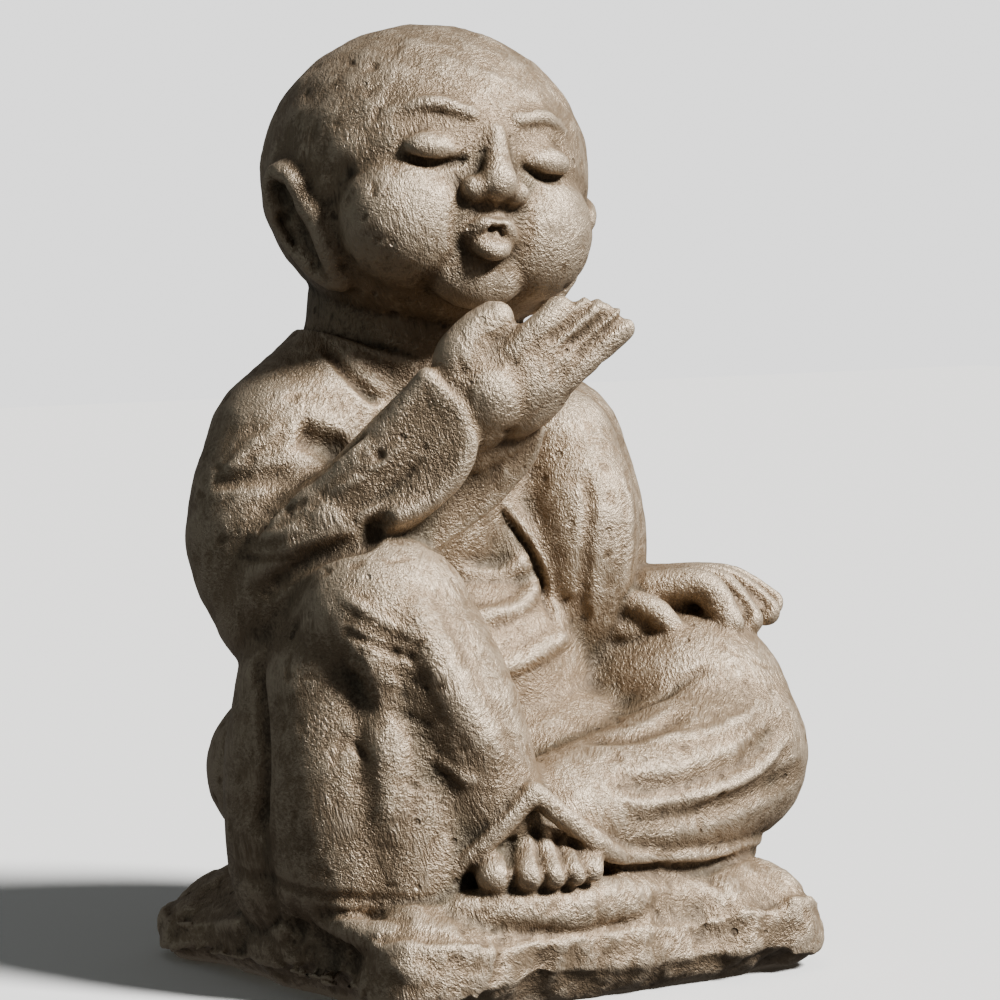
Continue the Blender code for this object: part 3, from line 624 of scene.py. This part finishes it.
def rock_mesh(sizes, grain):
    """The rock: a lumpy slab with rounded corners and a low mound under the figure."""
    tall = sizes.rock_height + WASTE
    bpy.ops.mesh.primitive_cube_add(size=1.0, location=(0, 0, sizes.rock_height - tall / 2))
    slab = bpy.context.object
    slab.scale = (sizes.rock_width, sizes.rock_depth, tall)
    bpy.ops.object.transform_apply(location=True, rotation=False, scale=True)
    for upright, radius, segments in ((True, sizes.rock_corner, 8), (False, sizes.rock_shoulder, 6)):
        mesh = slab.data
        for item in (*mesh.vertices, *mesh.edges, *mesh.polygons):
            item.select = False
        for edge in mesh.edges:
            a, b = (mesh.vertices[i].co.z for i in edge.vertices)
            edge.select = abs(a - b) > 0.5 * tall if upright else min(a, b) > 0
        bpy.ops.object.mode_set(mode="EDIT")
        bpy.ops.mesh.select_mode(type="EDGE")
        bpy.ops.mesh.bevel(offset=radius, segments=segments, profile=0.5, affect="EDGES")
        bpy.ops.object.mode_set(mode="OBJECT")
    bpy.ops.object.mode_set(mode="EDIT")
    bpy.ops.mesh.select_all(action="SELECT")
    bpy.ops.mesh.quads_convert_to_tris()
    bpy.ops.object.mode_set(mode="OBJECT")
    mesh = taken(slab)
    clay = Clay(Matrix.Identity(4))
    clay.add(*corners_and_faces(mesh))
    bpy.data.meshes.remove(mesh)
    clay.ball(
        (0, 0.004, sizes.rock_height - 0.004),
        (sizes.rock_width * 0.46, sizes.rock_depth * 0.45, 0.014),
    )
    mesh = clay.fused(grain, round(6 * (CLOTH_GRAIN / grain) ** 2))
    points, normals = points_of(mesh), points_of(mesh, "normal")
    lumps = [noise.noise(spot) + 0.25 * noise.noise(spot * 3) for spot in map(Vector, points * 26)]
    points += normals * ROCK_LUMPS * np.array(lumps)[:, None]
    height = np.clip(points[:, 2] / sizes.rock_height, 0, 1)
    for x, y, reach, drop in ROCK_FALLS:
        aside = points[:, 0] - x * sizes.rock_width / 2
        behind = points[:, 1] - y * sizes.rock_depth / 2
        points[:, 2] -= drop * height * np.exp(-(aside**2 + behind**2) / reach**2)
    mesh.vertices.foreach_set("co", points.ravel())
    return mesh


class Skin:
    """A mesh under the tools. Its points are worked as one array and laid back at the end."""

    def __init__(self, mesh):
        self.mesh = mesh
        self.points = points_of(mesh)
        self.normals = points_of(mesh, "normal")
        corners = [tuple(face.vertices) for face in mesh.polygons]
        self.tree = BVHTree.FromPolygons(self.points.tolist(), corners)

    def track(self, frame, marks):
        """Points and outward directions on the skin nearest to a curve through the marks."""
        spots, outs = [], []
        for mark in smooth_route(marks, 16):
            spot, normal = self.tree.find_nearest(frame @ Vector(mark))[:2]
            spots.append(spot)
            outs.append(normal)
        spots, outs = np.array(spots), np.array(outs)
        for _ in range(5):
            for rows in (spots, outs):
                rows[1:-1] = (rows[:-2] + 2 * rows[1:-1] + rows[2:]) / 4
        return spots, outs

    def work(self, spots, outs, width, depth, kind):
        """Cut a groove, raise a ridge, or lift one side of the track into a hem."""
        reach = width * (4.0 if kind == "hem" else 1.0)
        low, high = spots.min(axis=0) - reach, spots.max(axis=0) + reach
        near = np.nonzero(((self.points > low) & (self.points < high)).all(axis=1))[0]
        gaps = self.points[near][:, None, :] - spots[None, :, :]
        spans = np.linalg.norm(gaps, axis=2)
        closest = spans.argmin(axis=1)
        rows = np.arange(len(near))
        away = spans[rows, closest]
        facing = np.clip(((self.normals[near] * outs[closest]).sum(axis=1) - 0.1) / 0.4, 0, 1)
        share = closest / (len(spots) - 1)
        fade = np.clip(np.minimum(share, 1 - share) * 6, 0.0, 1.0)
        if kind == "hem":
            along = np.gradient(spots, axis=0)
            along /= np.linalg.norm(along, axis=1)[:, None] + 1e-12
            across = np.cross(outs, along)[closest]
            side = (gaps[rows, closest] * across).sum(axis=1)
            rise = np.clip(1 - side / reach, 0, 1) ** 2 * np.clip(side / (0.35 * width), 0, 1)
            drop = np.where(side <= 0, np.clip(1 + side / width, 0, 1) ** 2, 0.0)
            lift = depth * (rise - 0.7 * drop)
        else:
            lift = np.clip(1 - (away / width) ** 2, 0, 1) ** 2 * depth
            lift = lift if kind == "ridge" else -lift
        lift = np.where(away < reach, lift * fade * facing, 0.0)
        self.points[near] += self.normals[near] * lift[:, None]

    def lay_back(self):
        self.mesh.vertices.foreach_set("co", self.points.ravel())
        self.mesh.update()


def carve(mesh, frame, sizes):
    """Works the folds, edges and hollows into the skin, the broad ones first."""
    skin = Skin(mesh)
    scale = frame.to_scale()[0]
    rock_frame = Matrix.Diagonal((sizes.rock_width / 2, sizes.rock_depth / 2, sizes.rock_height, 1.0))
    work = (
        (frame, scale, FOLDS),
        (frame, scale, CREASES),
        (head_frame(frame), scale, FACE_LINES),
        (frame @ aimed(*RAISED_HAND), scale, gaps_between(RAISED_FINGERS, 4.5, 3, 14, -14)),
        (frame @ aimed(*RESTING_HAND), scale, gaps_between(RESTING_FINGERS, 4, 3, 18, -4)),
        (frame @ aimed(*RIGHT_FOOT), scale, gaps_between(TOES, 3.5, 2, 10, -4)),
        (rock_frame, 0.001, ROCK_HOLLOWS),
    )
    for place, unit, lines in work:
        for kind, width, depth, marks in lines:
            spots, outs = skin.track(place, marks)
            skin.work(spots, outs, width * unit, depth * unit, kind)
    skin.lay_back()


def weather(mesh, frame, sizes):
    """Leaves tool marks on the cloth and skin, rough marks on the rock, and scattered pits."""
    points, normals = points_of(mesh), points_of(mesh, "normal")
    seat = frame.translation.z
    rough = np.clip((seat + 0.012 - points[:, 2]) / 0.012, 0, 1)
    face_at = np.array(head_frame(frame) @ Vector((0, -84, -16)))
    calm = np.clip(np.linalg.norm(points - face_at, axis=1) / 0.045 - 0.4, 0.15, 1)
    marks = np.empty(len(points))
    for i, (x, y, z) in enumerate(points.tolist()):
        broad = noise.noise((x * 60, y * 60, z * 60))
        stroke = noise.noise((x * 210 + 40, y * 210, z * 110))
        nick = noise.noise((x * 120, y * 120, z * 120 + 70))
        marks[i] = 0.6 * broad + 0.6 * stroke - 1.6 * max(0.0, nick - 0.42) * 3
    chips = np.array([
        noise.noise((x * 34, y * 34, z * 34 + 9)) + 0.5 * noise.noise((x * 90, y * 90, z * 90))
        + 0.35 * noise.noise((x * 240, y * 240, z * 240))
        - 1.5 * max(0.0, noise.noise((x * 70 + 5, y * 70, z * 70)) - 0.35)
        for x, y, z in points.tolist()
    ])
    lift = marks * sizes.tool_marks * calm * (1 - rough) + chips * sizes.rock_marks * rough
    ground = np.clip(points[:, 2] / 0.004, 0, 1)
    points += normals * (lift * ground)[:, None]
    mesh.vertices.foreach_set("co", points.ravel())
    mesh.update()


def shelter(mesh):
    """Stores how sunken and how raised each point is, for the painted shade, wash and highlight."""
    points, normals = points_of(mesh), points_of(mesh, "normal")
    ends = np.empty(2 * len(mesh.edges), int)
    mesh.edges.foreach_get("vertices", ends)
    one, two = ends.reshape(-1, 2).T
    count = np.bincount(ends, minlength=len(points))[:, None]
    for name, rounds, span in (("near_hollow", 6, 0.0006), ("wide_hollow", 60, 0.0040)):
        flow = points.copy()
        for _ in range(rounds):
            total = np.stack([
                np.bincount(one, flow[two, axis], len(points))
                + np.bincount(two, flow[one, axis], len(points))
                for axis in range(3)
            ], axis=1)
            flow = 0.4 * flow + 0.6 * total / count
        sunk = ((flow - points) * normals).sum(axis=1) / span
        layer = mesh.attributes.new(name, "FLOAT", "POINT")
        layer.data.foreach_set("value", np.clip(sunk, -1, 1).astype(np.float32))


def cut_flat(body):
    """Cuts away everything below the ground, closes the underside and clears flaps and crumbs."""
    only(body)
    bpy.ops.object.mode_set(mode="EDIT")
    bpy.ops.mesh.select_all(action="SELECT")
    bpy.ops.mesh.bisect(
        plane_co=(0, 0, 0), plane_no=(0, 0, -1), use_fill=True, clear_outer=True, threshold=1e-6
    )
    bpy.ops.mesh.select_all(action="SELECT")
    bpy.ops.mesh.quads_convert_to_tris()
    bpy.ops.mesh.select_mode(type="EDGE")
    bpy.ops.mesh.select_all(action="DESELECT")
    bpy.ops.mesh.select_non_manifold(
        extend=False, use_wire=False, use_multi_face=False, use_non_contiguous=False, use_verts=False
    )
    bpy.ops.mesh.delete(type="EDGE")
    bpy.ops.mesh.select_all(action="SELECT")
    bpy.ops.mesh.normals_make_consistent(inside=False)
    bpy.ops.mesh.select_mode(type="VERT")
    bpy.ops.mesh.select_all(action="DESELECT")
    bpy.ops.object.mode_set(mode="OBJECT")
    crown = max(body.data.vertices, key=lambda corner: corner.co.z)
    crown.select = True
    bpy.ops.object.mode_set(mode="EDIT")
    bpy.ops.mesh.select_linked()
    bpy.ops.mesh.select_all(action="INVERT")
    bpy.ops.mesh.delete(type="VERT")
    bpy.ops.object.mode_set(mode="OBJECT")


def centre(mesh):
    """Moves the form so that the middle of its outline stands where the solid's does."""
    points = points_of(mesh)
    middle = (np.array(SOLID_BOX[0]) + np.array(SOLID_BOX[1])) / 2
    points[:, :2] += (middle - (points.min(axis=0) + points.max(axis=0)) / 2)[:2]
    mesh.vertices.foreach_set("co", points.ravel())
    mesh.update()


def statue_mesh(sizes):
    """The whole casting, fused, carved, weathered and thinned."""
    frame = drawn_frame(sizes)
    grain = sizes.grain * 1.0
    Clay.pattern = round_pattern()

    def soften(steps, drawn_at):
        return max(1, round(steps * (drawn_at / grain) ** 2))

    parts = [
        body_clay(frame).fused(grain, soften(12, CLOTH_GRAIN)),
        rock_mesh(sizes, grain),
        head_clay(frame).fused(grain, soften(6, FINE_GRAIN)),
        face_clay(frame).fused(grain, 2),
        sleeve_clay(frame).fused(grain, 3),
        raised_hand_clay(frame).fused(grain, 2),
        resting_hand_clay(frame).fused(grain, 2),
        hem_clay(frame).fused(grain, 3),
        foot_clay(frame).fused(grain, 2),
    ]
    whole = Clay(Matrix.Identity(4))
    for mesh in parts:
        whole.add(*corners_and_faces(mesh))
        bpy.data.meshes.remove(mesh)
    mesh = whole.fused(grain, 3)
    carve(mesh, frame, sizes)
    weather(mesh, frame, sizes)
    triangles = sum(len(face.vertices) - 2 for face in mesh.polygons)
    return modified(mesh, share=min(1.0, sizes.faces / triangles))


def node(tree, kind, **settings):
    """A node with its settings, plain input values by socket name under inputs."""
    made = tree.nodes.new(kind)
    values = settings.pop("inputs", {})
    for name, value in settings.items():
        setattr(made, name, value)
    for socket, value in values.items():
        made.inputs[socket].default_value = value
    return made


def between(tree, value, low, high):
    """The value eased from 0 at low to 1 at high."""
    ease = node(tree, "ShaderNodeMapRange", interpolation_type="SMOOTHSTEP")
    ease.inputs["From Min"].default_value = low
    ease.inputs["From Max"].default_value = high
    tree.links.new(value, ease.inputs["Value"])
    return ease.outputs["Result"]


def sums(tree, kind, one, two):
    """Two values combined, either of them a socket or a plain number."""
    both = node(tree, "ShaderNodeMath", operation=kind)
    for socket, value in zip(both.inputs, (one, two)):
        if isinstance(value, bpy.types.NodeSocket):
            tree.links.new(value, socket)
        else:
            socket.default_value = value
    return both.outputs[0]


def mixed(tree, share, one, two):
    """Two colours mixed by a share, each of them a socket or a plain value."""
    mix = node(tree, "ShaderNodeMix", data_type="RGBA")
    for socket, value in ((mix.inputs[0], share), (mix.inputs[6], one), (mix.inputs[7], two)):
        if isinstance(value, bpy.types.NodeSocket):
            tree.links.new(value, socket)
        else:
            socket.default_value = value
    return mix.outputs[2]


def shader_group(name, inputs, outputs):
    """An empty node group with named sockets: (label, kind, default) in, (label, kind) out."""
    group = bpy.data.node_groups.new(name, "ShaderNodeTree")
    for label, kind, value in inputs:
        socket = group.interface.new_socket(label, in_out="INPUT", socket_type=kind)
        if value is not None:
            socket.default_value = value
    for label, kind in outputs:
        group.interface.new_socket(label, in_out="OUTPUT", socket_type=kind)
    return group, group.nodes.new("NodeGroupInput"), group.nodes.new("NodeGroupOutput")


def brush_marks_group():
    """Long strokes of a stiff brush, laid in patches in three directions."""
    group, enter, leave = shader_group(
        "brush_marks",
        [("Place", "NodeSocketVector", None), ("Fineness", "NodeSocketFloat", 240.0),
         ("Slimness", "NodeSocketFloat", 0.22), ("Patches", "NodeSocketFloat", 24.0)],
        [("Height", "NodeSocketFloat")],
    )
    links = group.links
    along = sums(group, "MULTIPLY", enter.outputs["Fineness"], enter.outputs["Slimness"])
    stretch = node(group, "ShaderNodeCombineXYZ")
    for axis, value in zip("XYZ", (enter.outputs["Fineness"], enter.outputs["Fineness"], along)):
        links.new(value, stretch.inputs[axis])
    heights = []
    for tilt in ((12, 8, 0), (-35, 50, 20), (60, -40, 65)):
        turn = node(group, "ShaderNodeVectorRotate", rotation_type="EULER_XYZ")
        turn.inputs["Rotation"].default_value = [math.radians(degrees) for degrees in tilt]
        links.new(enter.outputs["Place"], turn.inputs["Vector"])
        scale = node(group, "ShaderNodeVectorMath", operation="MULTIPLY")
        links.new(turn.outputs["Vector"], scale.inputs[0])
        links.new(stretch.outputs["Vector"], scale.inputs[1])
        strokes = node(group, "ShaderNodeTexNoise", inputs={
            "Scale": 1.0, "Detail": 2.5, "Roughness": 0.6, "Distortion": 0.35})
        links.new(scale.outputs["Vector"], strokes.inputs["Vector"])
        heights.append(strokes.outputs["Fac"])
    height = heights[0]
    for i, other in enumerate(heights[1:]):
        patch = node(group, "ShaderNodeTexNoise", noise_dimensions="4D", inputs={
            "W": 3.0 + 5 * i, "Detail": 1.0})
        links.new(enter.outputs["Place"], patch.inputs["Vector"])
        links.new(enter.outputs["Patches"], patch.inputs["Scale"])
        share = between(group, patch.outputs["Fac"], 0.46, 0.56)
        mix = node(group, "ShaderNodeMix", data_type="FLOAT")
        for socket, value in zip((mix.inputs[0], mix.inputs[2], mix.inputs[3]), (share, height, other)):
            links.new(value, socket)
        height = mix.outputs[0]
    links.new(height, leave.inputs["Height"])
    return group


def pits_group():
    """Small round pits, in some places and not in others. 1 in a pit, 0 outside."""
    group, enter, leave = shader_group(
        "pits",
        [("Place", "NodeSocketVector", None), ("Fineness", "NodeSocketFloat", 150.0),
         ("Amount", "NodeSocketFloat", 0.5)],
        [("Pit", "NodeSocketFloat")],
    )
    cells = node(group, "ShaderNodeTexVoronoi", feature="F1")
    group.links.new(enter.outputs["Place"], cells.inputs["Vector"])
    group.links.new(enter.outputs["Fineness"], cells.inputs["Scale"])
    pick = node(group, "ShaderNodeSeparateColor")
    group.links.new(cells.outputs["Color"], pick.inputs[0])
    chosen = sums(group, "LESS_THAN", pick.outputs[0], enter.outputs["Amount"])
    size = sums(group, "MULTIPLY_ADD", pick.outputs[1], 0.22)
    size.node.inputs[2].default_value = 0.12
    bowl = sums(group, "SUBTRACT", size, cells.outputs["Distance"])
    deep = sums(group, "MULTIPLY", between(group, bowl, 0.0, 0.12), chosen)
    group.links.new(deep, leave.inputs["Pit"])
    return group


def placed(tree, group, place, values):
    """A group's node, reading the place, with its own values."""
    made = node(tree, "ShaderNodeGroup", node_tree=group)
    tree.links.new(place, made.inputs["Place"])
    for name, value in values.items():
        made.inputs[name].default_value = value
    return made.outputs[0]


def stone_material(colours):
    """Cast stone, brushed while wet, toned bronze, darkened with wash and painted shade, lightened with
    wear and painted highlight.
    """
    material = bpy.data.materials.new("bronze_toned_stone")
    material.use_nodes = True
    tree = material.node_tree
    surface = tree.nodes["Principled BSDF"]
    place = node(tree, "ShaderNodeTexCoord").outputs["Object"]
    marks = brush_marks_group()
    pits = pits_group()
    strokes = placed(tree, marks, place, STROKES)
    scratches = placed(tree, marks, place, SCRATCHES)
    pitted = placed(tree, pits, place, PITS)
    sand = node(tree, "ShaderNodeTexNoise", inputs={"Scale": SAND, "Detail": 3.0})
    tree.links.new(place, sand.inputs["Vector"])
    cloud = node(tree, "ShaderNodeTexNoise", inputs={"Scale": CLOUDS, "Detail": 4.0})
    tree.links.new(place, cloud.inputs["Vector"])
    near = node(tree, "ShaderNodeAttribute", attribute_name="near_hollow").outputs["Fac"]
    wide = node(tree, "ShaderNodeAttribute", attribute_name="wide_hollow").outputs["Fac"]

    relief = sums(tree, "ADD", strokes, sums(tree, "MULTIPLY", scratches, 0.42))
    relief = sums(tree, "ADD", relief, sums(tree, "MULTIPLY", sand.outputs["Fac"], 0.20))
    relief = sums(tree, "SUBTRACT", relief, sums(tree, "MULTIPLY", pitted, 0.55))
    bump = node(tree, "ShaderNodeBump", inputs={"Strength": 1.0, "Distance": RELIEF})
    tree.links.new(relief, bump.inputs["Height"])
    tree.links.new(bump.outputs["Normal"], surface.inputs["Normal"])

    # Painted shade: the hollows, the low parts of the brush strokes and the pits are darkened towards the
    # dark colour, part dark wash in the marks and pits, part painted shade in the hollows
    sunk = sums(tree, "ADD", sums(tree, "MULTIPLY", near, 0.6), sums(tree, "MULTIPLY", wide, 0.25))
    low_stroke = sums(tree, "SUBTRACT", 0.5, strokes)
    wash_and_shade = sums(tree, "ADD", sunk, sums(tree, "MULTIPLY", low_stroke, 1.9))
    wash_and_shade = sums(tree, "ADD", wash_and_shade, sums(tree, "MULTIPLY", pitted, 0.7))
    wash_and_shade = between(tree, wash_and_shade, 0.0, 1.0)
    # Painted highlight: the stroke tops and rounded forms are lightened towards the lighter tone, partly
    # as wear on raised spots
    rubbed_and_highlight = sums(tree, "SUBTRACT", sums(tree, "MULTIPLY", low_stroke, -1.8), sunk)
    rubbed_and_highlight = between(tree, rubbed_and_highlight, 0.0, 0.75)
    # Painted shade tint: a green cast in the wide hollows, varied by the clouds, copying the greenish cast
    # of the shadows
    shade_tint_mask = sums(tree, "MULTIPLY", between(tree, wide, -0.1, 0.7),
                   between(tree, cloud.outputs["Fac"], 0.45, 0.65))
    tone = mixed(tree, between(tree, cloud.outputs["Fac"], 0.3, 0.7), colours.bronze,
                 [0.80 * value for value in colours.bronze[:3]] + [1.0])
    tone = mixed(tree, rubbed_and_highlight, tone, colours.rubbed_and_highlight)
    tone = mixed(tree, sums(tree, "MULTIPLY", shade_tint_mask, 0.35), tone, colours.green_shade_tint)
    # Dark wash and painted shade laid over the colour
    tone = mixed(tree, sums(tree, "MULTIPLY", wash_and_shade, WASH_AND_SHADE_SHARE), tone, colours.shade)
    tree.links.new(tone, surface.inputs["Base Color"])
    dull = sums(tree, "MULTIPLY_ADD", wash_and_shade, 0.22)
    dull.node.inputs[2].default_value = DULLNESS
    tree.links.new(dull, surface.inputs["Roughness"])
    surface.inputs["Metallic"].default_value = METAL_SHARE
    return material


def floor_material(colours):
    """Plain pale floor."""
    material = bpy.data.materials.new("pale_floor")
    material.use_nodes = True
    surface = material.node_tree.nodes["Principled BSDF"]
    surface.inputs["Base Color"].default_value = colours.floor
    surface.inputs["Roughness"].default_value = 0.85
    return material


def direction(azimuth, elevation):
    """From the statue towards a place round it, in degrees: azimuth 0 is its front."""
    a, e = math.radians(azimuth), math.radians(elevation)
    return Vector((math.sin(a) * math.cos(e), -math.cos(a) * math.cos(e), math.sin(e)))


class STATUE_OT_figure(bpy.types.Operator):
    """Casts the seated figure and its rock in one piece"""

    bl_idname = "statue.figure"
    bl_label = "Figure on its rock"

    def execute(self, context):
        sizes, colours = context.scene.statue_sizes, context.scene.statue_colours
        body = bpy.data.objects.new("statue_casting", statue_mesh(sizes))
        context.scene.collection.objects.link(body)
        cut_flat(body)
        centre(body.data)
        shelter(body.data)
        body.data.materials.append(stone_material(colours))
        only(body)
        bpy.ops.object.shade_smooth()
        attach(body, "root")
        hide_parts("monk_statue")
        return {"FINISHED"}


class STATUE_OT_stage(bpy.types.Operator):
    """Sets the floor, the lights and the camera"""

    bl_idname = "statue.stage"
    bl_label = "Floor, lights and camera"

    def execute(self, context):
        scene = context.scene
        bpy.ops.object.select_all(action="DESELECT")
        bpy.ops.mesh.primitive_plane_add(size=FLOOR_SIZE, location=(0, 0, -FLOOR_DROP))
        floor = context.object
        floor.name = "floor"
        floor.data.materials.append(floor_material(scene.statue_colours))
        bpy.ops.object.transform_apply()
        # Light thrown up by the pale floor would wash out the dark undersides
        floor.visible_diffuse = False
        floor.visible_glossy = False
        towards = direction(KEY_AZIMUTH, KEY_ELEVATION)
        bpy.ops.object.light_add(type="SUN", location=FOCUS + towards)
        key = context.object
        key.name = "key_lamp"
        key.data.energy = KEY_STRENGTH
        key.data.angle = math.radians(SUN_SPREAD)
        key.rotation_euler = (-towards).to_track_quat("-Z", "Y").to_euler()
        place = FOCUS + direction(FILL_AZIMUTH, FILL_ELEVATION) * FILL_DISTANCE
        bpy.ops.object.light_add(type="AREA", location=place)
        fill = context.object
        fill.name = "fill_lamp"
        fill.data.energy = FILL_POWER
        fill.data.size = FILL_SIZE
        fill.data.color = FILL_COLOUR
        fill.rotation_euler = (FOCUS - place).to_track_quat("-Z", "Y").to_euler()
        place = FOCUS + direction(VIEW_AZIMUTH, VIEW_ELEVATION) * VIEW_DISTANCE
        bpy.ops.object.camera_add(location=place)
        camera = context.object
        camera.rotation_euler = (FOCUS - place).to_track_quat("-Z", "Y").to_euler()
        camera.data.sensor_width = SENSOR
        camera.data.lens = SENSOR * VIEW_DISTANCE / VIEW_WIDTH
        scene.camera = camera
        scene.view_settings.look = "AgX - Medium High Contrast"
        sky = bpy.data.worlds.new("studio")
        scene.world = sky
        sky.use_nodes = True
        tree = sky.node_tree
        soft = tree.nodes["Background"]
        soft.inputs["Color"].default_value = (1.0, 1.0, 1.0, 1.0)
        soft.inputs["Strength"].default_value = SKY_LIGHT
        seen = node(tree, "ShaderNodeBackground", inputs={
            "Color": (1.0, 1.0, 1.0, 1.0), "Strength": SKY_SEEN})
        mix = node(tree, "ShaderNodeMixShader")
        rays = node(tree, "ShaderNodeLightPath")
        tree.links.new(rays.outputs["Is Camera Ray"], mix.inputs[0])
        tree.links.new(soft.outputs[0], mix.inputs[1])
        tree.links.new(seen.outputs[0], mix.inputs[2])
        tree.links.new(mix.outputs[0], tree.nodes["World Output"].inputs["Surface"])
        return {"FINISHED"}


class STATUE_PT_panel(bpy.types.Panel):
    """The statue's sizes, colours and makers"""

    bl_label = "Monk garden statue"
    bl_space_type = "VIEW_3D"
    bl_region_type = "UI"
    bl_category = "Statue"

    def draw(self, context):
        for group in (context.scene.statue_sizes, context.scene.statue_colours):
            box = self.layout.box()
            for name in group.bl_rna.properties.keys():
                if name not in ("rna_type", "name"):
                    box.prop(group, name)
        self.layout.operator("statue.figure")
        self.layout.operator("statue.stage")


CLASSES = (StatueSizes, StatueColours, STATUE_OT_figure, STATUE_OT_stage, STATUE_PT_panel)


def register():
    for kind in CLASSES:
        bpy.utils.register_class(kind)
    bpy.types.Scene.statue_sizes = PointerProperty(type=StatueSizes)
    bpy.types.Scene.statue_colours = PointerProperty(type=StatueColours)


def unregister():
    del bpy.types.Scene.statue_colours
    del bpy.types.Scene.statue_sizes
    for kind in reversed(CLASSES):
        bpy.utils.unregister_class(kind)


def main():
    register()
    bpy.ops.statue.figure()
    bpy.ops.statue.stage()


if __name__ == "__main__":
    main()
